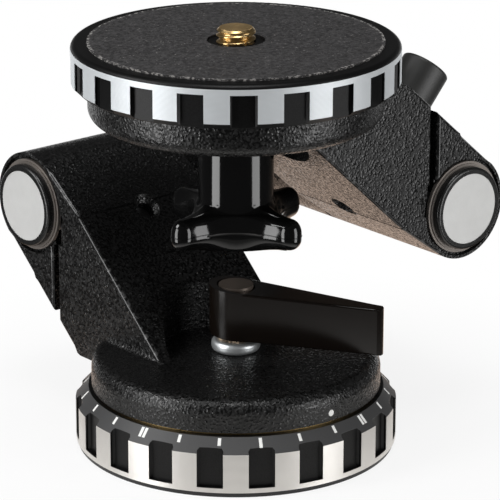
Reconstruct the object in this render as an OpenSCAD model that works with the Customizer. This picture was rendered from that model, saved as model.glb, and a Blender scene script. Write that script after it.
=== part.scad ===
// Two axis leveling head with a panning base, in mm, +Z up.
// Origin: centre of the base's underside, on the pan axis.
// The lower tilt axis runs along X, the upper one along Y.
// The upper half is the lower half turned over about the line x = y at mid_z.

/* [Layout] */
// Distance of both tilt axes from the pan axis
hinge_reach = 57.25; // [55:0.05:62]
// Height of the lower tilt axis
hinge_z = 51.13; // [50:0.01:54]
// Height of the line about which the halves turn over
mid_z = 52.4; // [51.5:0.05:55]
// Lean of each slab from the vertical
slab_lean = 48.8; // [46:0.1:51]

/* [Base] */
// Diameter of both fluted rings
ring_d = 80; // [78:0.5:86]
// Thickness of the base plate's rim
plate_rim = 1.2; // [0.8:0.1:1.8]
// Step of the base plate's rim in from the ring
plate_inset = 0.5; // [0.2:0.1:1.5]
// Height of the bright land on the base ring
base_land = 9.8; // [8.5:0.1:10.5]
// Height of the black cone above the base ring's land
base_cone = 3.4; // [2.6:0.1:4]
// Radial depth of that cone
cone_in = 3.2; // [2.6:0.1:3.5]
// Turn of the base ring, to the middle of a land
base_turn = 14.28; // [0:0.01:18]
// Radius of the hollow in the base ring
hollow_r = 30; // [28:0.1:31]
// Thickness of the web at the top of the base ring
web_t = 3.2; // [2.6:0.1:4]
// Height of the base plate's boss above its rim
boss_h = 7.4; // [6.6:0.1:7.6]
// Diameter of the tripod thread, 3/8 inch
tripod_d = 9.525; // [6.35:0.005:9.525]
// Outside diameter of the tripod bush
bush_d = 14; // [12.5:0.1:16]
// Flange diameter of the tripod bush
bush_flange_d = 20; // [18:0.1:24]
// Flange thickness of the tripod bush
bush_flange_t = 1.5; // [1:0.1:2.5]
// Shank diameter of the base screws
base_screw_d = 3; // [2.5:0.1:3.5]
// Head diameter of the base screws
base_head_d = 5.6; // [5:0.1:6]
// Length of the base screws
base_screw_len = 7; // [5:0.1:9]
// Circle radius of the base screws
base_screw_pcr = 33.6; // [33.3:0.1:35]

/* [Flutes] */
// Number of flutes on each ring
flute_count = 20; // [16:1:22]
// Width of the flutes
flute_w = 6.4; // [5:0.1:7]
// Bevel in the corners of the flutes
flute_bevel = 0.5; // [0.2:0.05:0.8]
// Depth of the flutes
flute_depth = 1.3; // [0.9:0.05:1.6]
// Land left below the flutes on the base ring
flute_stop = 1.2; // [0.8:0.1:2]

/* [Scale] */
// Width of an engraved line
tick_w = 0.6; // [0.4:0.05:0.8]
// Depth of an engraved line
tick_deep = 0.2; // [0.1:0.05:0.3]
// Length of a short line
tick_short = 2; // [1.5:0.1:2.4]
// Length of a long line
tick_long = 2.6; // [2.4:0.1:3]
// Gap between the middles of a double line
tick_pair = 1.1; // [0.9:0.05:1.4]
// Distance of the lines from the cone's inner edge
tick_edge = 0.3; // [0.2:0.05:0.6]

/* [Pan] */
// Thickness of the brass pan washer
pan_washer_t = 0.6; // [0.4:0.05:1]
// Outside diameter of the pan washer
pan_washer_d = 70; // [66:0.1:73.4]
// Inside diameter of the pan washer
pan_washer_in = 24; // [20:0.5:40]
// Shank diameter of the pan bolt
bolt_d = 8; // [7:0.1:9]
// Head diameter of the pan bolt
bolt_head_d = 26; // [22:0.5:40]
// Head thickness of the pan bolt
bolt_head_t = 2.1; // [1.6:0.1:2.1]
// Thread diameter of the pan bolt
bolt_thread_d = 6; // [5:0.1:6]
// Thread length of the pan bolt above the disc
bolt_thread_len = 7.6; // [6:0.1:7.9]

/* [Castings] */
// Diameter of each casting's disc
disc_d = 72; // [68:0.2:72.4]
// Height of the disc at its middle
disc_t = 8.3; // [7.5:0.1:9.5]
// Depth that is faced off the platform's disc
face_cut = 1.1; // [0.3:0.1:1.5]
// Radius of the disc's rounded edge
disc_edge_r = 3.5; // [2.5:0.5:6]
// Fall of the disc's face towards the edge, in degrees
disc_fall = 1.6; // [0.5:0.1:3]
// Diameter of the level middle of the disc's face
disc_level_d = 28; // [24:0.5:36]
// Length of slab and barrel along the tilt axis
slab_len = 41.4; // [38:0.1:44]
// Slab face on the inner side, from the tilt axis
slab_in = 14; // [13.8:0.1:15]
// Slab face on the outer side, from the tilt axis
slab_out = 13.8; // [13.6:0.1:15]
// Outside diameter of the barrel
barrel_d = 27; // [26:0.1:27.2]
// Hub face on the inner side at the step, from the tilt axis
hub_in = 14.9; // [14.4:0.1:15.2]
// Distance of the step between hub and slab
hub_step = 14; // [12.5:0.1:15]
// Height of the slab's lower end above the disc's underside
slab_lift = 0.7; // [0.5:0.1:2]
// Rounding of the slab's lower outer corner
slab_corner_r = 3; // [1.5:0.1:4]
// Radius of the pocket around the pan axis
pocket_r = 18; // [16:0.1:20]
// Width of the saw slot
slot_w = 2.2; // [1.2:0.1:2.4]
// Distance of the slot's middle from the tilt axis
slot_off = 10.3; // [10:0.1:11.5]
// Radius of the recess in the barrel's badge end
recess_r = 12.7; // [12.4:0.05:12.9]
// Depth of that recess
recess_deep = 1.2; // [0.8:0.1:1.6]
// Diameter of the index dot
dot_d = 1.6; // [1:0.1:2]
// Depth of the index dot
dot_deep = 0.5; // [0.3:0.1:1]
// Height of the index dot above the disc's underside
dot_rise = 2; // [1.4:0.1:2.5]

/* [Tilt link] */
// Diameter of both tilt shafts
shaft_d = 21; // [19:0.1:22]
// Depth of the shafts in the elbow
shaft_seat = 21.5; // [16:0.5:23]
// Diameter of the elbow's arms
arm_d = 27; // [26:0.1:27.2]
// Diameter of the ball at the elbow's corner
corner_d = 28; // [27:0.1:30]
// Diameter of the cross pins
pin_d = 4; // [3:0.1:5]
// Distance of the cross pins from the arms' mouths
pin_in = 11; // [6:0.5:13]
// Thickness of the thrust washers
thrust_t = 0.6; // [0.4:0.1:1]
// Diameter of the thrust washers
thrust_d = 24; // [23:0.1:24.4]
// Diameter of the end washers
end_washer_d = 23.6; // [22.6:0.1:24]
// Thickness of the end washers
end_washer_t = 1.3; // [1:0.1:1.8]
// Step in from the end washer's edge
end_step = 0.6; // [0.4:0.1:1]
// Height of that step
end_step_t = 0.4; // [0.2:0.05:0.6]
// Diameter of the end caps
cap_d = 21.2; // [20.4:0.1:21.4]
// Thickness of the end caps
cap_t = 1.95; // [1.8:0.05:2.6]
// Rounding of the end caps' edge
cap_round = 0.7; // [0.4:0.05:1]
// Diameter of the badges
badge_d = 18.1; // [16:0.1:18.6]
// Thickness of the badges
badge_t = 0.5; // [0.4:0.05:0.7]
// How far the badges lie below the caps' rims
badge_sunk = 0.15; // [0.05:0.05:0.2]
// Shank diameter of the cap screws
cap_screw_d = 5; // [4:0.1:6]
// Head diameter of the cap screws
cap_head_d = 10; // [8:0.1:12]
// Head thickness of the cap screws
cap_head_t = 0.9; // [0.6:0.05:0.9]
// Length of the cap screws
cap_screw_len = 12; // [8:0.5:18]

/* [Clamps] */
// Distance of the clamp screws below the tilt axis, along the slab
clamp_off = 16.4; // [15.8:0.1:17.4]
// Diameter of the clamp screws
clamp_screw_d = 5; // [4.5:0.1:6]
// How deep the clamp screws' ends lie below the slab's inner face
clamp_sunk = 3; // [0.5:0.1:5]
// Depth of the countersink in the slab's inner face
clamp_sink = 0.9; // [0.3:0.1:1.2]
// Diameter of the clamp knobs
clamp_knob_d = 12.8; // [12:0.1:13.4]
// Length of the clamp knobs
clamp_knob_len = 13.3; // [10:0.1:16]
// Rounding of the clamp knobs' outer edge
clamp_round = 0.8; // [0.3:0.1:1.5]
// Thickness of the clamp washers
clamp_washer_t = 0.5; // [0.3:0.05:0.8]
// Diameter of the clamp washers
clamp_washer_d = 11.6; // [10:0.1:11.8]
// Length of the clamp screws inside their knobs
clamp_grip = 9; // [6:0.5:9.5]

/* [Lever] */
// Direction of the lever from the X axis
lever_turn = -48.9; // [-60:0.1:-40]
// Distance of the lever's tip from the pan axis
lever_reach = 36.8; // [32:0.1:39]
// Diameter of the lever's hub
lever_hub_d = 13.2; // [12.6:0.1:14.5]
// Height of the lever's bar
lever_h = 12.4; // [11.8:0.1:13]
// Width of the lever's tip
lever_tip_w = 3.9; // [3:0.1:6]
// Rounding of the tip's corners
lever_tip_r = 1.4; // [0.5:0.1:1.6]
// Droop of the lever, in degrees
lever_droop = 6.2; // [4:0.1:6.8]
// Droop of the lever's underside, in degrees
lever_under = 5.5; // [3:0.1:6]
// Diameter of the lever's washer
lever_washer_d = 12.2; // [11:0.1:14]
// Thickness of the lever's washer
lever_washer_t = 3; // [2.7:0.1:3.2]
// Rounding of the lever washer's edge
lever_washer_r = 1.2; // [0.6:0.1:1.3]
// Height of the toothed insert that shows
insert_show = 1.3; // [1.2:0.1:2]
// Diameter over the insert's teeth
insert_d = 8.8; // [8.6:0.1:9.2]
// Depth of the insert's teeth
tooth_deep = 0.4; // [0.3:0.05:0.5]
// Number of teeth
tooth_count = 24; // [18:1:30]
// Height of the teeth inside the handle
tooth_grip = 2; // [1.6:0.1:2]
// Diameter of the screw's head on the lever
lever_head_d = 8.6; // [8:0.1:9]
// Height of that head
lever_head_t = 1; // [0.8:0.1:1.2]
// How far that head stands above the lever
lever_proud = 0.4; // [0:0.1:0.6]
// Diameter of the counterbore for that head
lever_sink_d = 9.5; // [9.4:0.1:10]
// Shank diameter of the lever's screw
lever_screw_d = 4; // [3:0.1:4]
// Wire diameter of the lever's spring
spring_wire = 0.45; // [0.35:0.05:0.5]
// Middle diameter of the lever's spring
spring_d = 6.4; // [5.6:0.1:7]
// Turns of the lever's spring
spring_turns = 3.2; // [2.5:0.1:3.5]

/* [Platform] */
// Height of the platform ring
plat_h = 12.4; // [12:0.1:13]
// Height of the cone under the platform ring's land
plat_cone = 1.5; // [1:0.1:2.4]
// Radial depth of that cone
plat_cone_in = 1.6; // [1:0.1:2.4]
// Height of the rim on which the platform ring sits
plat_rim_h = 1.7; // [1:0.1:2]
// Inside radius of that rim
plat_rim_r = 33; // [32.8:0.1:33.4]
// Rounding of the platform ring's rim
plat_round = 1.3; // [0.8:0.1:1.5]
// Land left above the flutes on the platform ring
plat_stop = 2.4; // [1.8:0.1:3]
// Turn of the platform ring, to the middle of a flute
plat_turn = 16.94; // [0:0.01:18]
// Radius of the hollow under the platform
plat_hollow_r = 24; // [20:0.5:25]
// Depth of that hollow
plat_hollow_t = 5; // [4:0.1:5.5]
// Diameter of the friction pad
pad_d = 72; // [68:0.2:73]
// Thickness of the friction pad
pad_t = 1.6; // [1.4:0.1:2]
// How far the pad stands above the rim
pad_proud = 0.4; // [0.2:0.1:0.6]
// Diameter of the boss in the pad's hole
pad_boss_d = 13.5; // [11:0.1:16]
// Diameter of the hole in the pad
pad_hole_d = 14.1; // [12:0.1:18]
// Shank diameter of the platform screws
plat_screw_d = 4; // [3:0.1:4]
// Head diameter of the platform screws
plat_head_d = 7; // [6:0.1:7.4]
// Head height of the platform screws
plat_head_t = 3; // [2:0.1:4]
// Depth of the platform screws in the casting
plat_screw_in = 4; // [3:0.1:5]
// Circle radius of the platform screws
plat_screw_pcr = 29; // [28.6:0.1:30]

/* [Camera screw] */
// Diameter of the camera screw, 3/8 inch
camera_d = 9.525; // [6.35:0.005:9.525]
// How far the camera screw stands above the pad
camera_out = 3.1; // [2.5:0.1:5]
// Depth of the relief under the camera screw's thread
camera_relief = 0.9; // [0.5:0.1:1.2]
// Height of that relief
camera_relief_h = 5; // [3:0.5:6]
// Depth of the camera screw in its knob
camera_grip = 16; // [12:0.5:18]
// Diameter of the snap ring
clip_d = 15; // [13:0.1:17]
// Thickness of the snap ring
clip_t = 1; // [0.8:0.1:1.4]
// Depth of the snap ring's groove
clip_groove = 0.6; // [0.4:0.05:0.8]
// Thickness of the knob's washer
knob_washer_t = 0.8; // [0.5:0.1:1.2]
// Diameter of the knob's washer
knob_washer_d = 17; // [15:0.1:18]
// Diameter of the knob's stem
stem_d = 18.6; // [17.6:0.1:20]
// Height of the knob with its stem
knob_h = 29.8; // [28:0.1:30.4]
// Reach of the knob's lobes
lobe_reach = 21.2; // [20.5:0.1:22]
// Radius of the lobes' ends
lobe_r = 3; // [2.6:0.1:3.6]
// Least radius of the knob between its lobes
waist_r = 10.6; // [10:0.1:11]
// Radius of the hollows between the lobes
dent_r = 17; // [16:0.1:18.5]
// Height of the lobes' top above the knob's foot
lobe_h = 9.2; // [8:0.1:9.6]
// Rounding of the lobes' upper edge
lobe_round = 3.2; // [2:0.1:3.6]
// Rounding of the lobes' lower edge
foot_round = 2.6; // [1.5:0.1:3]
// Rise of the knob's underside towards the lobes
foot_rise = 1.6; // [0.8:0.1:2]
// Radius of the flat middle of the knob's underside
foot_r = 9.8; // [8:0.1:10]
// Height of the flare above the lobes
flare_h = 1.9; // [1.6:0.1:3]
// Turn of the lobes
lobe_turn = 5.5; // [0:0.1:90]

/* [Clearances] */
// Radial clearance of running fits
run = 0.05; // [0.02:0.01:0.1]
// Radial clearance of fixed fits
seat = 0.03; // [0.02:0.01:0.05]
// Gap kept around parts that must not touch
free = 0.3; // [0.25:0.05:0.5]
// Gap between end washer and recess
end_gap = 0.2; // [0.1:0.05:0.4]

/* [Hidden] */
$fn = 96;
big = 200;
// heights of the base
ring_top = plate_rim + base_land + base_cone;
web_under = ring_top - web_t;
boss_top = plate_rim + boss_h;
disc_under = ring_top + pan_washer_t;
disc_top = disc_under + disc_t;
// heights of the platform, from the turned over disc
plat_under = 2 * mid_z - disc_under;
plat_seat = plat_under + plat_rim_h;
plat_top = plat_under + plat_h;
pad_top = plat_top + pad_proud;
pad_floor = pad_top - pad_t;
knob_top = 2 * mid_z - disc_top + face_cut - knob_washer_t;
knob_bottom = knob_top - knob_h;
// slab and disc sections
lean_s = sin(slab_lean);
lean_c = cos(slab_lean);
slab_floor = disc_under + slab_lift - hinge_z;
hub_r = barrel_d / 2;
hub_turn = acos(hub_r / norm([hub_in, hub_step])) - atan2(hub_step, hub_in);
in_end = (slab_floor - slab_in * lean_s) / lean_c;
out_y = slab_out - slab_corner_r;
out_z = (slab_floor + slab_corner_r + out_y * lean_s) / lean_c;
edge_r = disc_d / 2 - disc_edge_r;
edge_run = edge_r + disc_edge_r * sin(disc_fall) - disc_level_d / 2;
edge_z = disc_top - edge_run * tan(disc_fall) - disc_edge_r * cos(disc_fall);
// positions along the tilt axis, badge end first
end_face = -slab_len / 2;
shaft_end = end_face + recess_deep - end_gap;
cap_foot = shaft_end - end_washer_t;
cap_face = cap_foot - cap_t;
arm_mouth = slab_len / 2 + thrust_t;
shaft_far = arm_mouth + shaft_seat;
// lever heights
insert_foot = disc_top + lever_washer_t;
lever_foot = insert_foot + insert_show;
lever_top = lever_foot + lever_h;
teeth_top = lever_foot + tooth_grip;
insert_top = teeth_top + 2.7;
ledge_z = insert_top + 0.2;
ledge_top = ledge_z + 1.2;
head_z = lever_top + lever_proud - lever_head_t;
// cross grip outline
lobe_c = lobe_reach - lobe_r;

// Point in the slab's leaning section, as [y, z] from the tilt axis.
function lean(y, z) = [y * lean_c + z * lean_s, z * lean_c - y * lean_s];

// Puts a part of the lower half into the upper half.
module turned_over() {
  translate([0, 0, 2 * mid_z])
    rotate([180, 0, 90])
      children();
}

// Frame with its origin on the lower tilt axis.
module at_hinge() {
  translate([0, hinge_reach, hinge_z])
    children();
}

// Frame on the clamp screw's line, +Z out of the jaw's face.
module at_clamp() {
  at_hinge()
    rotate([-slab_lean, 0, 0])
      translate([0, 0, -clamp_off])
        rotate([-90, 0, 0])
          children();
}

// Section in y and z, drawn out along X.
module along_x(length) {
  rotate([90, 0, 90])
    linear_extrude(length, center = true)
      children();
}

// Rod along X between two positions.
module rod_x(from, to, r) {
  translate([from, 0, 0])
    rotate([0, 90, 0])
      cylinder(to - from, r, r);
}

// Flat ring.
module washer(r_in, r_out, h) {
  difference() {
    cylinder(h, r_out, r_out);
    translate([0, 0, -1])
      cylinder(h + 2, r_in, r_in);
  }
}

// Flat floored cutters around a ring, between two heights.
module flutes(from, to, turn) {
  half = flute_w / 2;
  for (i = [0 : flute_count - 1])
    rotate(turn + i * 360 / flute_count)
      translate([ring_d / 2 - flute_depth, 0, from])
        linear_extrude(to - from)
          polygon([[0, half - flute_bevel], [0, flute_bevel - half], [flute_bevel, -half],
            [8, -half], [8, half], [flute_bevel, half]]);
}

// One engraved line on the base ring's cone.
module tick(angle, side, length) {
  slope = atan2(base_cone, cone_in);
  rotate(angle)
    translate([ring_d / 2 - cone_in, side, ring_top])
      rotate([0, slope, 0])
        translate([tick_edge, -tick_w / 2, -tick_deep])
          cube([length, tick_w, 1]);
}

module ticks() {
  for (i = [0 : 23]) {
    angle = base_turn + i * 15;
    if (i % 6 == 0) {
      tick(angle, tick_pair / 2, tick_long);
      tick(angle, -tick_pair / 2, tick_long);
    } else {
      tick(angle, 0, i % 3 == 0 ? tick_long : tick_short);
    }
  }
}

// Four places on a circle.
module four(r) {
  for (i = [0 : 3])
    rotate(45 + i * 90)
      translate([r, 0, 0])
        children();
}

module base_screw(gap) {
  cone_h = (base_head_d - base_screw_d) / 2;
  translate([0, 0, gap > 0 ? -gap : 0])
    cylinder(cone_h, base_head_d / 2 + gap, base_screw_d / 2 + gap);
  cylinder(base_screw_len + gap, base_screw_d / 2 + gap, base_screw_d / 2 + gap);
}

module base_ring() {
  color([0.1, 0.1, 0.11])
    difference() {
      rotate_extrude()
        polygon([[hollow_r, plate_rim], [ring_d / 2, plate_rim],
          [ring_d / 2, plate_rim + base_land], [ring_d / 2 - cone_in, ring_top],
          [bolt_d / 2 + run, ring_top], [bolt_d / 2 + run, web_under], [hollow_r, web_under]]);
      flutes(plate_rim + flute_stop, ring_top + 1, base_turn + 180 / flute_count);
      ticks();
      four(base_screw_pcr)
        base_screw(seat);
    }
}

module base_plate() {
  color([0.07, 0.07, 0.08])
    difference() {
      union() {
        cylinder(plate_rim, ring_d / 2 - plate_inset, ring_d / 2 - plate_inset);
        cylinder(boss_top, hollow_r - run, hollow_r - run);
      }
      translate([0, 0, -1])
        cylinder(boss_top + 2, bush_d / 2 + seat, bush_d / 2 + seat);
      translate([0, 0, boss_top - bush_flange_t])
        cylinder(bush_flange_t + 1, bush_flange_d / 2 + seat, bush_flange_d / 2 + seat);
      four(base_screw_pcr)
        base_screw(seat);
    }
}

module base_screws() {
  color([0.45, 0.45, 0.46])
    four(base_screw_pcr)
      base_screw(0);
}

module tripod_bush() {
  color([0.78, 0.62, 0.3])
    difference() {
      union() {
        cylinder(boss_top, bush_d / 2, bush_d / 2);
        translate([0, 0, boss_top - bush_flange_t])
          cylinder(bush_flange_t, bush_flange_d / 2, bush_flange_d / 2);
      }
      translate([0, 0, -1])
        cylinder(boss_top + 2, tripod_d / 2, tripod_d / 2);
    }
}

module pan_washer() {
  color([0.78, 0.62, 0.3])
    translate([0, 0, ring_top])
      washer(pan_washer_in / 2, pan_washer_d / 2, pan_washer_t);
}

module disc_body(cut) {
  z = edge_z - cut;
  top = disc_top - cut;
  rotate_extrude()
    difference() {
      union() {
        polygon([[0, disc_under], [disc_d / 2, disc_under], [disc_d / 2, z], [edge_r, z],
          [edge_r + disc_edge_r * sin(disc_fall), z + disc_edge_r * cos(disc_fall)],
          [disc_level_d / 2, top], [0, top]]);
        translate([edge_r, z])
          circle(disc_edge_r);
      }
      translate([0, disc_under - 20])
        square([disc_d, 20]);
    }
}

module slab_section() {
  polygon([lean(-slab_in, -hub_step), lean(-slab_in, in_end),
    [lean(out_y, out_z)[0], slab_floor], lean(out_y, out_z),
    lean(slab_out, out_z), lean(slab_out, -hub_step)]);
  translate(lean(out_y, out_z))
    circle(slab_corner_r);
  polygon([lean(-hub_r * cos(hub_turn), hub_r * sin(hub_turn)), lean(-hub_in, -hub_step),
    lean(2 - slab_in, -hub_step - 2), lean(hub_r, -hub_step - 2), lean(hub_r, 0)]);
  circle(hub_r);
}

// One casting; the two differ in the bore on their upright axis and in how far
// the disc is faced off.
module casting(bore_r, cut) {
  difference() {
    union() {
      disc_body(cut);
      at_hinge()
        along_x(slab_len)
          slab_section();
    }
    translate([0, 0, disc_top - cut])
      cylinder(big, pocket_r, pocket_r);
    cylinder(big, bore_r, bore_r);
    at_hinge() {
      rod_x(-big, big, shaft_d / 2 + run);
      rod_x(-big, end_face + recess_deep, recess_r);
      translate([end_face - 1, -slot_off - slot_w / 2 - 2.2, -8])
        cube([recess_deep + 1, slot_w + 2.2, 8]);
      translate([-big / 2, -slot_off - slot_w / 2, -40])
        cube([big, slot_w, 40 - slot_off * 0.2]);
    }
    at_clamp() {
      translate([0, 0, -big / 2])
        cylinder(big / 2, clamp_screw_d / 2 + run, clamp_screw_d / 2 + run);
      translate([0, 0, -1])
        cylinder(big, clamp_screw_d / 2 + free, clamp_screw_d / 2 + free);
      translate([0, 0, -slab_in - 2])
        cylinder(clamp_sink + 2, clamp_screw_d / 2 + run + clamp_sink + 2, clamp_screw_d / 2 + run);
    }
  }
}

module dot_pin(from, length, gap) {
  translate([0, from - disc_d / 2, disc_under + dot_rise])
    rotate([90, 0, 0])
      cylinder(length, dot_d / 2 + gap, dot_d / 2 + gap);
}

module lower_casting() {
  color([0.12, 0.12, 0.13])
    difference() {
      casting(bolt_d / 2 + seat, 0);
      dot_pin(dot_deep, dot_deep + 2, seat);
    }
}

module pan_bolt() {
  color([0.55, 0.55, 0.56])
    union() {
      translate([0, 0, web_under - bolt_head_t - 0.1])
        cylinder(bolt_head_t, bolt_head_d / 2, bolt_head_d / 2);
      translate([0, 0, web_under - bolt_head_t])
        cylinder(disc_top - web_under + bolt_head_t, bolt_d / 2, bolt_d / 2);
      translate([0, 0, disc_top - 1])
        cylinder(bolt_thread_len + 1, bolt_thread_d / 2, bolt_thread_d / 2);
    }
}

module index_dot() {
  color([0.9, 0.9, 0.88])
    dot_pin(dot_deep, dot_deep - 0.02, 0);
}

module lever_washer() {
  color([0.6, 0.6, 0.6])
    translate([0, 0, disc_top])
      rotate_extrude() {
        in_r = bolt_thread_d / 2 + 0.2;
        out_r = lever_washer_d / 2;
        edge_in = out_r - lever_washer_r;
        upper = lever_washer_t - lever_washer_r;
        polygon([[in_r, 0], [edge_in, 0], [edge_in, lever_washer_r], [out_r, lever_washer_r],
          [out_r, upper], [edge_in, upper], [edge_in, lever_washer_t], [in_r, lever_washer_t]]);
        translate([edge_in, lever_washer_r])
          circle(lever_washer_r);
        translate([edge_in, upper])
          circle(lever_washer_r);
      }
}

module clamp_washer() {
  at_clamp()
    translate([0, 0, slab_out])
      washer(clamp_screw_d / 2 + free, clamp_washer_d / 2, clamp_washer_t);
}

module lower_clamp_washer() {
  color([0.25, 0.25, 0.26])
    clamp_washer();
}

module upper_clamp_washer() {
  color([0.25, 0.25, 0.26])
    turned_over()
      clamp_washer();
}

// Toothed outline of the insert, grown by a gap.
module teeth(gap) {
  top = insert_d / 2 + gap;
  root = top - tooth_deep;
  polygon([for (i = [0 : 2 * tooth_count - 1])
    (i % 2 == 0 ? top : root) * [cos(i * 180 / tooth_count), sin(i * 180 / tooth_count)]]);
}

module lever_insert() {
  color([0.72, 0.58, 0.3])
    difference() {
      union() {
        translate([0, 0, insert_foot])
          linear_extrude(teeth_top - insert_foot)
            teeth(0);
        translate([0, 0, insert_foot])
          cylinder(insert_top - insert_foot, insert_d / 2 - tooth_deep - 0.1,
            insert_d / 2 - tooth_deep - 0.1);
      }
      translate([0, 0, insert_foot - 1])
        cylinder(bolt_thread_len - lever_washer_t + 1.2, bolt_thread_d / 2 + run,
          bolt_thread_d / 2 + run);
      cylinder(big, lever_screw_d / 2 + seat, lever_screw_d / 2 + seat);
    }
}

module lever_screw() {
  color([0.16, 0.12, 0.1])
    union() {
      translate([0, 0, disc_top + bolt_thread_len + 0.4])
        cylinder(head_z - disc_top - bolt_thread_len, lever_screw_d / 2, lever_screw_d / 2);
      translate([0, 0, head_z])
        cylinder(lever_head_t, lever_head_d / 2, lever_head_d / 2);
    }
}

// Round wire swept along a helix.
module coil(r, wire, turns, height) {
  steps = 24;
  sides = 8;
  count = floor(turns * steps);
  pts = [for (i = [0 : count]) for (j = [0 : sides - 1])
    let (a = i * 360 / steps, b = j * 360 / sides, q = r + wire / 2 * cos(b))
      [q * cos(a), q * sin(a), wire / 2 + (height - wire) * i / count + wire / 2 * sin(b)]];
  skin = [for (i = [0 : count - 1]) for (j = [0 : sides - 1])
    let (k = (j + 1) % sides)
      [i * sides + j, (i + 1) * sides + j, (i + 1) * sides + k, i * sides + k]];
  first = [for (j = [0 : sides - 1]) j];
  last = [for (j = [sides - 1 : -1 : 0]) count * sides + j];
  polyhedron(pts, concat(skin, [first], [last]));
}

module lever_spring() {
  color([0.6, 0.6, 0.6])
    translate([0, 0, ledge_top])
      coil(spring_d / 2, spring_wire, spring_turns, head_z - ledge_top);
}

// Tapered bar of the lever, from the hub's middle to the tip.
module lever_bar() {
  root = lever_hub_d / 2 - 0.2;
  tip = lever_tip_w / 2;
  r = lever_tip_r;
  polygon([[0, root], [lever_reach - r, tip], [lever_reach - 0.3 * r, tip - 0.3 * r],
    [lever_reach, tip - r], [lever_reach, r - tip], [lever_reach - 0.3 * r, 0.3 * r - tip],
    [lever_reach - r, -tip], [0, -root]]);
}

// Side of the drooping lever, through hub and bar.
module lever_side() {
  start = -lever_hub_d;
  end = lever_reach + 1;
  foot = tan(lever_under);
  top = tan(lever_droop);
  polygon([[start, lever_foot - start * foot], [end, lever_foot - end * foot],
    [end, lever_top - end * top], [start, lever_top - start * top]]);
}

module pan_lever() {
  color([0.09, 0.09, 0.1])
    difference() {
      rotate(lever_turn)
        intersection() {
          translate([0, 0, lever_foot - 10])
            union() {
              rotate(150)
                cylinder(lever_h + 20, lever_hub_d / 2, lever_hub_d / 2);
              linear_extrude(lever_h + 20)
                lever_bar();
            }
          rotate([90, 0, 0])
            linear_extrude(60, center = true)
              lever_side();
        }
      translate([0, 0, lever_foot - 1])
        linear_extrude(tooth_grip + 1)
          teeth(0.12);
      translate([0, 0, teeth_top])
        cylinder(ledge_z - teeth_top, insert_d / 2 + free, insert_d / 2 + free);
      cylinder(big, lever_screw_d / 2 + free, lever_screw_d / 2 + free);
      translate([0, 0, ledge_top])
        cylinder(big, lever_sink_d / 2, lever_sink_d / 2);
    }
}

module clamp_knob() {
  r = clamp_knob_d / 2;
  z = clamp_knob_len - clamp_round;
  at_clamp()
    translate([0, 0, slab_out + clamp_washer_t])
      difference() {
        rotate_extrude() {
          polygon([[0, 0], [r, 0], [r, z], [r - clamp_round, z],
            [r - clamp_round, clamp_knob_len], [0, clamp_knob_len]]);
          translate([r - clamp_round, z])
            circle(clamp_round);
        }
        translate([0, 0, -1])
          cylinder(clamp_grip + 1.1, clamp_screw_d / 2 + seat, clamp_screw_d / 2 + seat);
      }
}

module clamp_screw() {
  from = clamp_sunk - slab_in;
  at_clamp()
    translate([0, 0, from])
      cylinder(slab_out + clamp_washer_t + clamp_grip - from, clamp_screw_d / 2, clamp_screw_d / 2);
}

module lower_clamp_knob() {
  color([0.08, 0.08, 0.09])
    clamp_knob();
}

module upper_clamp_knob() {
  color([0.08, 0.08, 0.09])
    turned_over()
      clamp_knob();
}

module lower_clamp_screw() {
  color([0.55, 0.55, 0.56])
    clamp_screw();
}

module upper_clamp_screw() {
  color([0.55, 0.55, 0.56])
    turned_over()
      clamp_screw();
}

module pin_hole(gap, half) {
  at_hinge()
    translate([arm_mouth + pin_in, 0, -half])
      cylinder(2 * half, pin_d / 2 + gap, pin_d / 2 + gap);
}

module arm() {
  at_hinge()
    rod_x(arm_mouth, hinge_reach, arm_d / 2);
}

module arm_bore() {
  at_hinge()
    rod_x(0, shaft_far + 0.2, shaft_d / 2 + seat);
}

module link_elbow() {
  color([0.12, 0.12, 0.13])
    difference() {
      union() {
        arm();
        turned_over()
          arm();
        translate([hinge_reach, hinge_reach, mid_z])
          sphere(corner_d / 2);
      }
      arm_bore();
      turned_over()
        arm_bore();
      pin_hole(seat, 30);
      turned_over()
        pin_hole(seat, 30);
    }
}

module tilt_shaft() {
  difference() {
    at_hinge()
      rod_x(shaft_end, shaft_far, shaft_d / 2);
    at_hinge()
      rod_x(-big, shaft_end + cap_screw_len - end_washer_t + 0.3, cap_screw_d / 2 + seat);
    pin_hole(seat, 30);
  }
}

module lower_tilt_shaft() {
  color([0.62, 0.62, 0.63])
    tilt_shaft();
}

module upper_tilt_shaft() {
  color([0.62, 0.62, 0.63])
    turned_over()
      tilt_shaft();
}

module shaft_pins() {
  color([0.5, 0.5, 0.51]) {
    pin_hole(0, arm_d / 2 - 0.4);
    turned_over()
      pin_hole(0, arm_d / 2 - 0.4);
  }
}

module thrust_washer() {
  at_hinge()
    translate([slab_len / 2, 0, 0])
      rotate([0, 90, 0])
        washer(shaft_d / 2 + seat, thrust_d / 2, thrust_t);
}

module lower_thrust_washer() {
  color([0.78, 0.62, 0.3])
    thrust_washer();
}

module upper_thrust_washer() {
  color([0.78, 0.62, 0.3])
    turned_over()
      thrust_washer();
}

module end_washer() {
  at_hinge()
    difference() {
      union() {
        rod_x(cap_foot + end_step_t, shaft_end, end_washer_d / 2);
        rod_x(cap_foot, shaft_end, end_washer_d / 2 - end_step);
      }
      rod_x(-big, big, cap_screw_d / 2 + seat);
    }
}

module lower_end_washer() {
  color([0.42, 0.39, 0.36])
    end_washer();
}

module upper_end_washer() {
  color([0.42, 0.39, 0.36])
    turned_over()
      end_washer();
}

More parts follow.
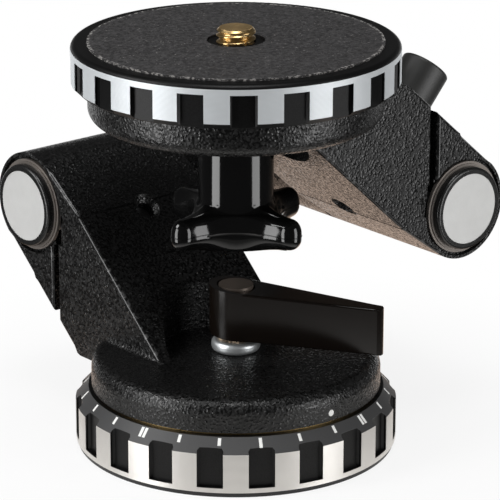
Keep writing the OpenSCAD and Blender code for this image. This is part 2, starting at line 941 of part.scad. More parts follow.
module end_cap() {
  r = cap_d / 2;
  z = cap_t - cap_round;
  deep = badge_t + badge_sunk;
  at_hinge()
    translate([cap_foot, 0, 0])
      rotate([0, -90, 0])
        difference() {
          rotate_extrude() {
            polygon([[0, 0], [r, 0], [r, z], [r - cap_round, z], [r - cap_round, cap_t], [0, cap_t]]);
            translate([r - cap_round, z])
              circle(cap_round);
          }
          translate([0, 0, cap_t - deep])
            cylinder(deep + 1, badge_d / 2 + seat, badge_d / 2 + seat);
          translate([0, 0, -1])
            cylinder(cap_head_t + 1.1, cap_head_d / 2 + free, cap_head_d / 2 + free);
        }
}

module lower_end_cap() {
  color([0.07, 0.07, 0.08])
    end_cap();
}

module upper_end_cap() {
  color([0.07, 0.07, 0.08])
    turned_over()
      end_cap();
}

module badge() {
  at_hinge()
    rod_x(cap_face + badge_sunk, cap_face + badge_sunk + badge_t, badge_d / 2);
}

module lower_badge() {
  color([0.75, 0.75, 0.74])
    badge();
}

module upper_badge() {
  color([0.75, 0.75, 0.74])
    turned_over()
      badge();
}

module cap_screw() {
  at_hinge() {
    rod_x(cap_foot - cap_head_t, cap_foot, cap_head_d / 2);
    rod_x(cap_foot - 0.1, cap_foot + cap_screw_len, cap_screw_d / 2);
  }
}

module lower_cap_screw() {
  color([0.5, 0.5, 0.51])
    cap_screw();
}

module upper_cap_screw() {
  color([0.5, 0.5, 0.51])
    turned_over()
      cap_screw();
}

module plat_screw(gap) {
  head = pad_floor - 0.2 - plat_head_t;
  translate([0, 0, plat_under - plat_screw_in - gap])
    cylinder(head - plat_under + plat_screw_in + 1, plat_screw_d / 2 + gap, plat_screw_d / 2 + gap);
  translate([0, 0, head])
    cylinder(plat_head_t + (gap > 0 ? 5 : 0), plat_head_d / 2 + gap, plat_head_d / 2 + gap);
}

module upper_casting() {
  color([0.12, 0.12, 0.13])
    difference() {
      union() {
        turned_over()
          casting(camera_d / 2 + free, face_cut);
        translate([0, 0, plat_under - 1])
          washer(plat_rim_r + seat, disc_d / 2, plat_rim_h + 1);
      }
      four(plat_screw_pcr)
        plat_screw(seat);
    }
}

module platform_ring() {
  r = ring_d / 2;
  color([0.1, 0.1, 0.11])
    difference() {
      rotate_extrude() {
        polygon([[0, plat_under], [plat_rim_r, plat_under], [plat_rim_r, plat_seat],
          [r - plat_cone_in, plat_seat], [r, plat_seat + plat_cone],
          [r, plat_top - plat_round], [r - plat_round, plat_top - plat_round],
          [r - plat_round, plat_top], [0, plat_top]]);
        translate([r - plat_round, plat_top - plat_round])
          circle(plat_round);
      }
      flutes(plat_under - 1, plat_top - plat_stop, plat_turn);
      translate([0, 0, plat_under - 1])
        cylinder(plat_hollow_t + 1, plat_hollow_r, plat_hollow_r);
      translate([0, 0, pad_floor])
        washer(pad_boss_d / 2, pad_d / 2 + seat, 10);
      cylinder(big, camera_d / 2 + run, camera_d / 2 + run);
      four(plat_screw_pcr)
        plat_screw(seat);
    }
}

module friction_pad() {
  color([0.2, 0.2, 0.2])
    translate([0, 0, pad_floor])
      washer(pad_hole_d / 2, pad_d / 2, pad_t);
}

module platform_screws() {
  color([0.5, 0.5, 0.51])
    four(plat_screw_pcr)
      plat_screw(0);
}

module knob_washer() {
  color([0.3, 0.3, 0.3])
    translate([0, 0, knob_top])
      washer(camera_d / 2 + free, knob_washer_d / 2, knob_washer_t);
}

module camera_screw() {
  r = camera_d / 2;
  top = pad_top + camera_out;
  neck = pad_top + 0.2;
  color([0.8, 0.62, 0.28])
    difference() {
      rotate_extrude()
        polygon([[0, knob_top - camera_grip], [r, knob_top - camera_grip],
          [r, neck - camera_relief_h], [r - camera_relief, neck - camera_relief_h],
          [r - camera_relief, neck], [r, neck], [r, top - 0.7], [r - 0.7, top], [0, top]]);
      translate([0, 0, plat_under + 0.1])
        washer(r - clip_groove, r + 1, clip_t + 0.1);
    }
}

module screw_clip() {
  color([0.4, 0.4, 0.41])
    translate([0, 0, plat_under + 0.15])
      difference() {
        washer(camera_d / 2 - clip_groove + seat, clip_d / 2, clip_t);
        translate([0, -camera_d / 2 + clip_groove + 0.8, -1])
          cube([clip_d, camera_d - 2 * clip_groove - 1.6, clip_t + 2]);
      }
}

module grip_outline() {
  tip = lobe_c * sqrt(0.5);
  difference() {
    union() {
      square(2 * tip, center = true);
      for (i = [0 : 3])
        rotate(i * 90) {
          polygon([[tip, tip], [tip - 3, tip + 3], [3 - tip, tip + 3], [-tip, tip]]);
          translate([tip, tip])
            circle(lobe_r);
        }
    }
    for (i = [0 : 3])
      rotate(i * 90)
        translate([0, waist_r + dent_r])
          circle(dent_r);
  }
}

module camera_knob() {
  r = lobe_reach;
  q = lobe_round;
  f = foot_round;
  stem_r = stem_d / 2;
  flare_z = lobe_h + flare_h;
  color([0.05, 0.05, 0.055])
    difference() {
      union() {
        translate([0, 0, knob_bottom + lobe_h])
          cylinder(knob_h - lobe_h, stem_r, stem_r);
        translate([0, 0, knob_bottom])
          rotate(lobe_turn - 45)
            intersection() {
              linear_extrude(flare_z + 2)
                grip_outline();
              rotate_extrude() {
                polygon([[0, 0], [foot_r, 0], [r - f, foot_rise], [r - f, foot_rise + f],
                  [r, foot_rise + f], [r, lobe_h - q], [r - q, lobe_h - q], [r - q, lobe_h],
                  [stem_r + 3.2, lobe_h + 0.6], [stem_r + 1.1, lobe_h + 1.3],
                  [stem_r - 0.4, flare_z + 1], [0, flare_z + 1]]);
                translate([r - f, foot_rise + f])
                  circle(f);
                translate([r - q, lobe_h - q])
                  circle(q);
              }
            }
      }
      translate([0, 0, knob_top - camera_grip])
        cylinder(big, camera_d / 2 + seat, camera_d / 2 + seat);
    }
}

base_ring();
base_plate();
base_screws();
tripod_bush();
pan_washer();
lower_casting();
pan_bolt();
index_dot();
lever_washer();
lower_clamp_washer();
lever_insert();
lever_screw();
lever_spring();
pan_lever();
lower_clamp_knob();
lower_clamp_screw();
upper_clamp_knob();
upper_clamp_screw();
link_elbow();
lower_tilt_shaft();
upper_tilt_shaft();
shaft_pins();
lower_thrust_washer();
upper_thrust_washer();
lower_end_washer();
upper_end_washer();
lower_end_cap();
upper_end_cap();
lower_badge();
upper_badge();
lower_cap_screw();
upper_cap_screw();
upper_casting();
platform_ring();
friction_pad();
platform_screws();
knob_washer();
upper_clamp_washer();
camera_screw();
camera_knob();
screw_clip();
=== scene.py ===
# %% [markdown]
# # A leveling head, dressed for the studio
# The solid model already says where everything is: a fluted base that pans, two
# twin castings that lean towards each other, an L shaped link that both of them
# grip, and a round platform with a camera screw. This lesson gives each surface
# its finish, and rebuilds the few pieces that need softer forms than the solids
# have. Everything is in metres, in the same frame as the solids; lengths that a
# maker would read off a drawing are written in millimetres.

# %% Load the solids
import math

import bmesh
import bpy
from mathutils import Matrix, Vector


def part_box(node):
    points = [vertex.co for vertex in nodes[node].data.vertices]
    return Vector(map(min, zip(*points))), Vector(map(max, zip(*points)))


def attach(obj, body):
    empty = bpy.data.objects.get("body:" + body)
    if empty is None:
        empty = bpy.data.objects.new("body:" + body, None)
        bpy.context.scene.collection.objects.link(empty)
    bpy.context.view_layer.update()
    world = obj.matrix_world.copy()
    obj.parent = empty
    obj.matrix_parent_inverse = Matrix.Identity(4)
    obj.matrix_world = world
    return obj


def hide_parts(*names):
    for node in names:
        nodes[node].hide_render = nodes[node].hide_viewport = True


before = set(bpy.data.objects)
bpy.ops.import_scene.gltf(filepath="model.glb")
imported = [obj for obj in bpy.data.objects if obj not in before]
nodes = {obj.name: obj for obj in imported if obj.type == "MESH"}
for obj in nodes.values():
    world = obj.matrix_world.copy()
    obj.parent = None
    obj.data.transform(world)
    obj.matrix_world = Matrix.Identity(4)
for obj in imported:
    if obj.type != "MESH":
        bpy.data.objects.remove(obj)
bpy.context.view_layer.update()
MM = 0.001

# %% [markdown]
# ## Writing shaders as sums
# A shader is a small calculation per point. Wiring Math nodes by hand hides the
# calculation, so a thin wrapper around a socket lets plain Python operators add
# those nodes. A Mix node has several sets of sockets, and the ones for colours are
# picked by number.

# %% A socket that can be added and multiplied
mix_by, mix_dark, mix_light, mix_colour = 0, 6, 7, 2


class Flow:
    """One output socket of a shader tree, with arithmetic."""

    def __init__(self, tree, socket):
        self.tree, self.socket = tree, socket

    def math(self, operation, *others):
        """A Math node on this value and any others."""
        values = dict(enumerate((self, *others)))
        return node(self.tree, "ShaderNodeMath", {"operation": operation}, values)[0]

    def flipped(self, operation, other):
        """A Math node with this value in second place."""
        values = {0: other, 1: self}
        return node(self.tree, "ShaderNodeMath", {"operation": operation}, values)[0]

    def __add__(self, other):
        return self.math("ADD", other)

    def __radd__(self, other):
        return self.flipped("ADD", other)

    def __sub__(self, other):
        return self.math("SUBTRACT", other)

    def __rsub__(self, other):
        return self.flipped("SUBTRACT", other)

    def __mul__(self, other):
        return self.math("MULTIPLY", other)

    def __rmul__(self, other):
        return self.flipped("MULTIPLY", other)

    def step(self, low, high):
        """0 below low, 1 above high, smooth between."""
        span = {"Value": self, "From Min": low, "From Max": high}
        smooth = {"interpolation_type": "SMOOTHSTEP"}
        return node(self.tree, "ShaderNodeMapRange", smooth, span)[0]

    def blend(self, dark, light):
        """A colour between two, by this value."""
        ends = {mix_by: self, mix_dark: dark, mix_light: light}
        return node(self.tree, "ShaderNodeMix", {"data_type": "RGBA"}, ends)[mix_colour]


print("a socket can now be added, subtracted and multiplied")

# %% [markdown]
# Every other node comes from one function. It sets what the node does first,
# because that can change which sockets it has, and then feeds the sockets with
# constants or links. What comes back are its outputs, by number or by name.


# %% Any other node
class Made(list):
    """The outputs of a node that was just made, by number or name."""

    def __init__(self, tree, shader_node):
        super().__init__(Flow(tree, s) for s in shader_node.outputs)
        self.by_name = {s.name: Flow(tree, s) for s in shader_node.outputs}

    def named(self, name):
        return self.by_name[name]


def feed(tree, target, value):
    """Links a value to a socket, or writes a constant into it."""
    if isinstance(value, Flow):
        tree.links.new(value.socket, target)
    elif isinstance(value, (tuple, list)) and target.type == "RGBA":
        target.default_value = (*value, 1.0)
    else:
        target.default_value = value


def node(tree, kind, settings=None, sockets=None):
    """Adds a node: its settings first, then the values or links of its sockets."""
    made = tree.nodes.new(kind)
    for name, value in (settings or {}).items():
        setattr(made, name, value)
    for key, value in (sockets or {}).items():
        feed(tree, made.inputs[key], value)
    return Made(tree, made)


print("nodes come from one function")

# %% [markdown]
# ## What a finish is
# A finish starts from the Principled shader. Constants go straight onto its
# sockets, and only colour, roughness, metal and bump may vary over the surface,
# so that the finish survives being baked. Patterns are read at the place of a point
# in the object, so they need no unwrapping and keep their size in millimetres.


# %% A finish
class Finish:
    """A material with its tree, a place to read from and a shader to feed."""

    def __init__(self, name, **constants):
        self.material = bpy.data.materials.new(name)
        self.material.use_nodes = True
        self.tree = self.material.node_tree
        self.shader = next(n for n in self.tree.nodes if n.type == "BSDF_PRINCIPLED")
        for socket, value in constants.items():
            self.set(socket.replace("_", " "), value)
        self.place = node(self.tree, "ShaderNodeTexCoord").named("Object")

    def set(self, socket, value):
        feed(self.tree, self.shader.inputs[socket], value)

    def split(self):
        """The three coordinates, each as a value."""
        made = node(self.tree, "ShaderNodeSeparateXYZ", None, {0: self.place})
        return made[0], made[1], made[2]

    def noise(self, grain_mm, detail=2.0, rough=0.5):
        sockets = {"Vector": self.place, "Scale": 1 / (grain_mm * MM),
                   "Detail": detail, "Roughness": rough}
        return node(self.tree, "ShaderNodeTexNoise", None, sockets)[0]

    def cells(self, grain_mm):
        """Distance to the nearest of many scattered seeds."""
        sockets = {"Vector": self.place, "Scale": 1 / (grain_mm * MM)}
        return node(self.tree, "ShaderNodeTexVoronoi", {"feature": "F1"}, sockets)[0]

    def bump(self, height, depth_mm, strength=1.0):
        sockets = {"Height": height, "Distance": depth_mm * MM, "Strength": strength}
        self.set("Normal", node(self.tree, "ShaderNodeBump", None, sockets)[0])


def from_axis(x, y):
    """Distance of a point from the upright axis."""
    return (x * x + y * y).math("SQRT")


print("finishes ready")

# %% [markdown]
# ## Pebbled paint
# Both castings and the elbow carry black pebbled paint: round lumps under a
# millimetre across with pits between them. There are far too many to model, so they
# are a height in the shader. Near the seed of a cell pattern the height is a round
# dome, and a broad noise lets some domes grow larger than others. The pits are
# painted a darker black than the domes, as painted shade in the hollows. A fine
# grain roughens the domes and changes their gloss from point to point, which is
# what sparkles where light only grazes the paint.

# %% Pebbled paint on the castings
pebble = Finish("pebble_paint", Metallic=0.0, IOR=1.5)
lump_apart, patch_size, swell_size, dust_size = 0.9, 1.7, 2.2, 0.62
noise_low, noise_high = 0.36, 0.6
dome_top, dome_foot, smallest_dome = 0.1, 0.6, 0.45
painted_pit_shade, paint_lump, paint_deep = (0.0015, 0.0015, 0.0015), (0.005, 0.005, 0.005), 0.17
paint_rough, dust_gloss, lump_gloss = 0.55, 0.3, 0.06
lump_part, swell_part, dust_part = 0.62, 0.4, 0.75

domes = 1 - pebble.cells(lump_apart).step(dome_top, dome_foot)
grown = pebble.noise(patch_size, detail=1.0).step(noise_low, noise_high)
lumps = domes * (smallest_dome + grown * (1 - smallest_dome))
swell = pebble.noise(swell_size, detail=1.0)
dust = pebble.noise(dust_size, detail=1.0)
# The colour is darker in the pits than on the domes: painted shade in the hollows.
pebble.set("Base Color", lumps.blend(painted_pit_shade, paint_lump))
glossy_dust = dust.step(noise_low, noise_high) * dust_gloss
pebble.set("Roughness", paint_rough - glossy_dust - lumps * lump_gloss)
pebble.bump(lumps * lump_part + swell * swell_part + dust * dust_part, paint_deep)
print("pebbled paint:", len(pebble.tree.nodes), "nodes")

# %% [markdown]
# ## The fluted rings
# The rings are anodised black all over, and then the lands between the flutes are
# turned bright on the lathe. Separate faces could carry two materials, but the cut
# would follow the mesh. The lathe knows only a radius, so the shader asks for the
# same: bright metal shows wherever the surface is still at the full radius, between
# two heights. The flutes stay dark, and on the base ring the cone above them is a
# little greyer and less metallic, because it is matt.

# %% What the lathe has cut
ring_r, cone_in, cone_h = 40.0, 3.2, 3.4
cut_from, cut_to, soft_line, cone_skin = 0.22, 0.12, 0.05, 0.15


def above(z, height_mm):
    """0 below a height and 1 above it, with a fine soft line between."""
    return z.step((height_mm - soft_line) * MM, (height_mm + soft_line) * MM)


def land_mask(radius, z, low, high):
    """The bright lands: full radius, between two heights."""
    full = radius.step((ring_r - cut_from) * MM, (ring_r - cut_to) * MM)
    return full * above(z, low) * (1 - above(z, high))


def cone_mask(radius, z, high):
    """The skin of the cone that rises inwards from a height."""
    inside = ring_r * MM - (z - high * MM) * (cone_in / cone_h) - radius
    return above(z, high) * (1 - inside.step(soft_line * MM, cone_skin * MM))


print("ring masks: radius", ring_r, "mm")

# %% [markdown]
# Fine turning lines run around the lands, as a sine of the height. The base ring
# and the platform ring differ in the warmth of their metal, in how much of the land
# mirrors and in the cone, so one function makes both.

# %% Two-tone ring finish
line_apart, line_deep, line_part = 0.28, 0.012, 1.2
land_patch, patch_dim, black_grain, grain_tone = 6.0, 0.9, 0.35, 0.3
anodised_dark, anodised_grey = (0.006, 0.006, 0.006), (0.055, 0.055, 0.056)
anodised_rough, grain_rough, anodised_metal = 0.36, 0.1, 0.8
grain_part, cone_grain, cone_rough = 0.15, 0.5, 0.14


def ring_finish(name, low, high, shoulder, metal, dull, tint):
    """Black ring with bright lands; shoulder says how grey its cone is."""
    paint = Finish(name, IOR=1.5)
    x, y, z = paint.split()
    radius = from_axis(x, y)
    land, cone = land_mask(radius, z, low, high), cone_mask(radius, z, high)
    grain = paint.noise(black_grain, detail=3.0)
    lathe = (z * (2 * math.pi / (line_apart * MM))).math("SINE")
    bright = paint.noise(land_patch).blend([patch_dim * part for part in tint], tint)
    dark = (cone * shoulder + grain * grain_tone).blend(anodised_dark, anodised_grey)
    dark_metal = (1 - cone * min(1, 2 * shoulder)) * anodised_metal
    land_rough = dull - (anodised_rough + grain_rough / 2)
    paint.set("Base Color", land.blend(dark, bright))
    paint.set("Metallic", land * metal + (1 - land) * dark_metal)
    paint.set("Roughness", anodised_rough + grain * grain_rough
              + cone * shoulder * cone_rough + land * land_rough)
    matt = grain_part + cone * shoulder * cone_grain
    paint.bump(lathe * land * line_part + grain * matt, line_deep)
    return paint


base_ring_finish = ring_finish("base_ring_finish", 0.2, 11.0, shoulder=0.6, metal=0.85,
                               dull=0.34, tint=(0.72, 0.70, 0.67))
platform_ring_finish = ring_finish("platform_ring_finish", 91.5, 101.2, shoulder=0.0,
                                   metal=0.55, dull=0.48, tint=(0.67, 0.70, 0.72))
print("ring finishes:", len(base_ring_finish.tree.nodes), "nodes each")

# %% [markdown]
# ## Plain metals and plastics
# Most small pieces are one metal or one plastic with a grain. One function makes
# them from a colour, a second colour for the grain, a gloss and a grain size. A fine
# and a broad noise together keep the surface from looking evenly sprayed.

# %% Grained finishes
broad_by, fine_part, grain_strength = 14, 0.6, 0.6


def grained(name, colour, second, rough, metal=0.0, grain=0.5, depth=0.01, spread=0.12,
            **constants):
    """A finish with a grain in mm and a bump depth in mm."""
    paint = Finish(name, Metallic=metal, **constants)
    fine = paint.noise(grain, detail=3.0, rough=0.6)
    broad = paint.noise(grain * broad_by, detail=1.0)
    tone = fine * fine_part + broad * (1 - fine_part)
    paint.set("Base Color", tone.blend(colour, second))
    paint.set("Roughness", tone * spread + (rough - spread / 2))
    paint.bump(fine, depth, grain_strength)
    return paint


def grey(tone):
    """A colour of three equal parts."""
    return (tone, tone, tone)


print("grained finishes can be made")

# %% [markdown]
# The metals come first: steel inside, zinc on the lever's washer, browned and
# blackened screws, turned shafts, the stepped rings at the badge ends, the bare
# silver discs, and brass where something has to slide.

# %% Metals
steel = grained("inner_steel", (0.34, 0.34, 0.35), (0.52, 0.52, 0.53), 0.36, 1.0, 0.3)
zinc = grained("zinc_plate", (0.62, 0.65, 0.66), (0.80, 0.83, 0.84), 0.42, 0.85, 0.45)
blackened = grained("blackened_washer", grey(0.03), grey(0.07), 0.45, 0.8, 0.4)
browned = grained("browned_screw", (0.095, 0.076, 0.062), (0.160, 0.130, 0.108),
                  0.42, 0.6, 0.35)
alloy = grained("turned_alloy", (0.46, 0.46, 0.47), (0.62, 0.62, 0.63), 0.32, 1.0, 0.25)
end_metal = grained("end_ring_metal", (0.16, 0.14, 0.125), (0.27, 0.245, 0.225),
                    0.45, 0.75, 0.4)
badge_silver = grained("badge_silver", (0.50, 0.50, 0.49), (0.64, 0.64, 0.63),
                       0.5, 0.45, 0.22, 0.014)
plain_brass = grained("plain_brass", (0.52, 0.35, 0.13), (0.72, 0.53, 0.25), 0.36, 1.0, 0.4)
dull_brass = grained("dull_brass", (0.26, 0.20, 0.14), (0.42, 0.33, 0.24), 0.42, 0.9, 0.3)
print("metals ready")

# %% [markdown]
# No two blacks on the head are alike. The lever's paint is satin and slightly warm,
# the clamp knobs are matt plastic, the cross grip is polished, and the plate and the
# caps lie between. The scale and the index dot are filled with white enamel.

# %% Blacks and the white
black_plate = grained("black_plate", (0.010, 0.010, 0.011), (0.020, 0.020, 0.021),
                      0.42, 0.2, 0.4)
satin_lever = grained("satin_lever", (0.0030, 0.0020, 0.0014), (0.0062, 0.0043, 0.0033),
                      0.17, 0.0, 0.5, 0.008, IOR=1.5)
cap_black = grained("cap_black", grey(0.006), grey(0.011), 0.28, 0.0, 0.4, 0.008)
matte_knob = grained("matte_knob", (0.016, 0.016, 0.015), (0.026, 0.026, 0.025),
                     0.46, 0.0, 0.28, 0.02)
gloss_knob = grained("gloss_knob", (0.0015, 0.0015, 0.0016), grey(0.003),
                     0.09, 0.0, 1.2, 0.004, 0.04)
enamel = grained("white_enamel", (0.72, 0.72, 0.70), (0.84, 0.84, 0.82), 0.45, 0.0, 0.3)
print("blacks and enamel ready")

# %% [markdown]
# ## The camera screw's brass
# The screw was faced on a lathe, so its end carries fine rings that catch light
# from every side. They are a sine of the distance from the axis, and are kept to the
# end face because only that was faced.

# %% Turned brass
screw_top, face_from, face_to = 105.7, 0.04, 0.02
ring_apart, ring_deep = 0.55, 0.035
turned_brass = Finish("turned_brass", Metallic=1.0)
x, y, z = turned_brass.split()
tone = turned_brass.noise(0.5, detail=3.0)
end_face = z.step((screw_top - face_from) * MM, (screw_top - face_to) * MM)
rings = (from_axis(x, y) * (2 * math.pi / (ring_apart * MM))).math("SINE")
turned_brass.set("Base Color", tone.blend((0.60, 0.40, 0.16), (0.78, 0.56, 0.28)))
turned_brass.set("Roughness", 0.26 + tone * 0.08 + end_face * 0.14)
turned_brass.bump(rings * end_face + tone * 0.2, ring_deep)
print("turned brass:", len(turned_brass.tree.nodes), "nodes")

# %% [markdown]
# ## The friction pad
# The pad is a charcoal composition with pale crumbs in it, matt on top, and its cut
# edge is torn pale. Crumbs are the middles of cells, kept only where a second noise
# is high, so that they lie scattered and not in a grid.

# %% Flecked pad
pad_finish = Finish("flecked_pad", Metallic=0.0, Specular_IOR_Level=0.25)
x, y, _ = pad_finish.split()
pad_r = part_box("friction_pad")[1][0]
torn_from, torn_to, crumb_apart, crumb_pale, felt_deep = 0.9, 0.5, 0.9, 0.6, 0.08
cut_edge = from_axis(x, y).step(pad_r - torn_from * MM, pad_r - torn_to * MM)
torn = cut_edge * pad_finish.noise(0.7, detail=3.0).step(0.5, 0.58)
crumbs = 1 - pad_finish.cells(crumb_apart).step(0.1, 0.3)
kept = pad_finish.noise(1.6).step(0.52, 0.62)
flecks = (crumbs * kept * crumb_pale).math("MAXIMUM", torn)
felt = pad_finish.noise(1.0, detail=5.0, rough=0.8)
cloth = felt.step(0.32, 0.68).blend((0.012, 0.0114, 0.0117), (0.064, 0.062, 0.063))
pad_finish.set("Base Color", flecks.blend(cloth, (0.26, 0.25, 0.24)))
pad_finish.set("Roughness", felt * 0.15 + 0.72)
pad_finish.bump(felt + flecks * 0.5, felt_deep, 0.8)
print("pad finish:", len(pad_finish.tree.nodes), "nodes, radius", round(pad_r / MM, 2), "mm")

# %% [markdown]
# ## Dressing the solids
# Each solid takes the finish of what it is made of. Pieces that stay hidden inside
# get one too, because the model can be taken apart.

# %% Finishes on the solids
worn_by = {
    pebble: ["lower_casting", "upper_casting", "link_elbow"],
    base_ring_finish: ["base_ring"],
    platform_ring_finish: ["platform_ring"],
    black_plate: ["base_plate"],
    steel: ["base_screws", "pan_bolt", "lower_clamp_screw", "upper_clamp_screw",
            "shaft_pins", "lower_cap_screw", "upper_cap_screw", "platform_screws",
            "screw_clip", "lever_spring"],
    turned_brass: ["camera_screw"],
    dull_brass: ["lever_insert"],
    plain_brass: ["tripod_bush", "pan_washer", "lower_thrust_washer", "upper_thrust_washer"],
    enamel: ["index_dot"],
    zinc: ["lever_washer"],
    blackened: ["lower_clamp_washer", "upper_clamp_washer", "knob_washer"],
    browned: ["lever_screw"],
    satin_lever: ["pan_lever"],
    matte_knob: ["lower_clamp_knob", "upper_clamp_knob"],
    alloy: ["lower_tilt_shaft", "upper_tilt_shaft"],
    end_metal: ["lower_end_washer", "upper_end_washer"],
    cap_black: ["lower_end_cap", "upper_end_cap"],
    badge_silver: ["lower_badge", "upper_badge"],
    pad_finish: ["friction_pad"],
    gloss_knob: ["camera_knob"],
}
for finish, names in worn_by.items():
    for name in names:
        for held in nodes[name].material_slots:
            held.material = finish.material
print("dressed:", sum(len(names) for names in worn_by.values()), "solids")

# %% [markdown]
# ## From a form to a piece
# Whatever is built in mesh code ends the same way: smooth shading that breaks at
# real corners, a finish and a body to ride on. A copy of a solid brings that solid's
# stored normals along, and they no longer fit once its faces have changed, so they
# are dropped.

# %% A piece from a form
real_corner = math.radians(40)


def show(name, form, finish, body):
    """Turns a finished form into a piece that rides on a body."""
    data = bpy.data.meshes.new(name)
    form.to_mesh(data)
    form.free()
    if "custom_normal" in data.attributes:
        data.attributes.remove(data.attributes["custom_normal"])
    data.shade_smooth()
    data.set_sharp_from_angle(angle=real_corner)
    data.materials.append(finish.material)
    piece = bpy.data.objects.new(name, data)
    bpy.context.scene.collection.objects.link(piece)
    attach(piece, body)
    return piece


print("forms can become pieces")

# %% [markdown]
# ## Softened edges
# No cast or milled edge is razor sharp, and it is the thin bright line on an edge
# that tells the eye how hard the material is. Paint runs thin on such an edge and
# hands rub it, so the castings' rounds are smooth and alloy shows through in places.

# %% Rubbed paint on the edges
rubbed = Finish("rubbed_edge", IOR=1.5)
bare = rubbed.noise(1.6, detail=3.0).step(0.52, 0.66)
rubbed.set("Base Color", bare.blend(grey(0.005), grey(0.10)))
rubbed.set("Metallic", bare * 0.6)
rubbed.set("Roughness", 0.24 + bare * 0.12)
rubbed.bump(rubbed.noise(0.3), 0.01, 0.5)
print("rubbed edge:", len(rubbed.tree.nodes), "nodes")

# %% [markdown]
# The inner face of each slab has a step near its upper end that is barely felt on
# the real casting. Moving only the step's own corners would bend the hole that lies
# across it, so the whole lower face leans out instead, more the further up it is.
# The plane of that face is given by a point at its foot and two directions.

# %% Leaning the inner face
slab_foot = Vector((3.98, 23.1))
slab_rise, slab_out = Vector((0.7525, 0.6587)), Vector((-0.6587, 0.7525))
step_at, step_lost = 43.92, 0.9
on_face, past_step = 0.03, 0.05


def lean_inner_face(form, across, top):
    """Leans the face out and counts the points; a hanging slab is measured from its top."""
    moved = 0
    for vert in form.verts:
        height = top - vert.co.z / MM if top else vert.co.z / MM
        place = Vector((vert.co[across] / MM, height)) - slab_foot
        along = place.dot(slab_rise)
        if abs(place.dot(slab_out)) < on_face and 0.0 < along < step_at + past_step:
            push = slab_out * step_lost * MM * along / step_at
            vert.co[across] += push.x
            vert.co.z += -push.y if top else push.y
            moved += 1
    return moved


print("inner faces lean by up to", step_lost, "mm")

# %% [markdown]
# A bevel modifier would round every edge and eat into bores and threads. So the
# edges are picked by plain rules: convex, about square, long, and on a casting only
# those on the two sides of its slab. The slab's flat faces come as triangles, and
# the seams between them have to be found first.

# %% Finding the edges
slab_side, side_near, long_edge = 20.7, 0.02, 8.0
square_from, square_to = 1.2, 1.95
lies_along, lies_across = 0.001, 0.999


def is_flat(face, axis):
    """A face of the slab: it lies across the axis or along it."""
    lean = abs(face.normal[axis])
    return lean < lies_along or lean > lies_across


def on_sides(edge, axis):
    """Both ends of the edge lie on one of the slab's sides."""
    return all(abs(abs(v.co[axis]) - slab_side * MM) < side_near * MM for v in edge.verts)


def square_edges(form, axis):
    """Long square corners; with an axis, only those that lie on the slab's sides."""
    found = []
    for edge in form.edges:
        square = edge.is_convex and square_from < edge.calc_face_angle(0.0) < square_to
        if square and edge.calc_length() > long_edge * MM:
            if axis is None or on_sides(edge, axis):
                found.append(edge)
    return found


print("edges longer than", long_edge, "mm are rounded")

# %% [markdown]
# Each edge is cut a little before both ends, so that the round stays even and runs
# out within a short end piece where several edges meet. The new faces are marked, so
# that they can wear a second finish.

# %% Rounding the edges
end_piece, round_steps = 1.5, 4


def rounded(form, edges, width):
    """Rounds outer corners and marks the new faces for the second finish."""
    for edge in list(edges):
        for vert in tuple(edge.verts):
            share = end_piece * MM / edge.calc_length()
            edges.append(bmesh.utils.edge_split(edge, vert, share)[0])
    rounds = bmesh.ops.bevel(form, geom=edges, offset=width * MM, offset_type="OFFSET",
                             segments=round_steps, profile=0.5, affect="EDGES",
                             clamp_overlap=False)
    for face in rounds["faces"]:
        face.material_index = 1
    return len(rounds["faces"])


print("rounds have", round_steps, "steps")

# %% [markdown]
# Smooth shading alone would bend the light on the large flats beside a round. So
# each flat keeps its own normal at every corner, and the outer rows of a round take
# the normal of the flat they run into.

# %% Even shading
same_way = 0.85


def flats_beside(data, rounds):
    """The flat faces that run into the rounds."""
    beside = {}
    for face in data.polygons:
        for key in face.edge_keys:
            beside.setdefault(key, []).append(face)
    return {flat.index: flat for face in rounds for key in face.edge_keys
            for flat in beside[key]
            if flat.material_index == 0 and flat.normal.dot(face.normal) > same_way}


def even_shading(data):
    """Keeps the flat faces beside the rounds flat, and lets the rounds run into them."""
    rounds = [face for face in data.polygons if face.material_index == 1]
    normals = [corner.vector.copy() for corner in data.corner_normals]
    at_vert = {}
    for flat in flats_beside(data, rounds).values():
        for corner, vert in zip(flat.loop_indices, flat.vertices):
            normals[corner] = flat.normal.copy()
            at_vert.setdefault(vert, []).append(flat.normal.copy())
    for face in rounds:
        for corner, vert in zip(face.loop_indices, face.vertices):
            near = max(at_vert.get(vert, [-face.normal]), key=face.normal.dot)
            if near.dot(face.normal) > same_way:
                normals[corner] = near
    data.normals_split_custom_set(normals)


print("flats stay flat beside a round")

# %% [markdown]
# Now the steps come together. The castings and the lever are copied, their triangles
# are joined into whole faces, and the chosen edges are rounded. The copy stands for
# the solid, which stays for collision. The upper casting is the lower one turned over,
# so its heights are measured down from the height of the pair. The lever's rounds
# wear the lever's own paint, because it is not worn there.

# %% Castings and lever with soft edges
weld, seam_angle = 0.002, math.radians(0.05)
casting_round, lever_round, twin_height = 0.8, 0.5, 104.8


def softened(name, width, finish, edge_finish, body, axis=None, top=0.0):
    """Stands for a solid, with its long edges rounded; axis runs from side to side."""
    form = bmesh.new()
    form.from_mesh(nodes[name].data)
    bmesh.ops.remove_doubles(form, verts=form.verts, dist=weld * MM)
    seams = [e for e in form.edges
             if axis is None or all(is_flat(face, axis) for face in e.link_faces)]
    bmesh.ops.dissolve_limit(form, angle_limit=seam_angle, verts=[], edges=seams)
    leaned = lean_inner_face(form, 1 - axis, top) if axis is not None else 0
    turned = rounded(form, square_edges(form, axis), width)
    piece = show(name + "_soft", form, finish, body)
    piece.data.materials.append(edge_finish.material)
    even_shading(piece.data)
    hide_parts(name)
    print(name, "rounded faces:", turned, "leaned points:", leaned)


softened("lower_casting", casting_round, pebble, rubbed, "pan_head", axis=0)
softened("upper_casting", casting_round, pebble, rubbed, "platform", axis=1,
         top=twin_height)
softened("pan_lever", lever_round, satin_lever, satin_lever, "lever_handle")

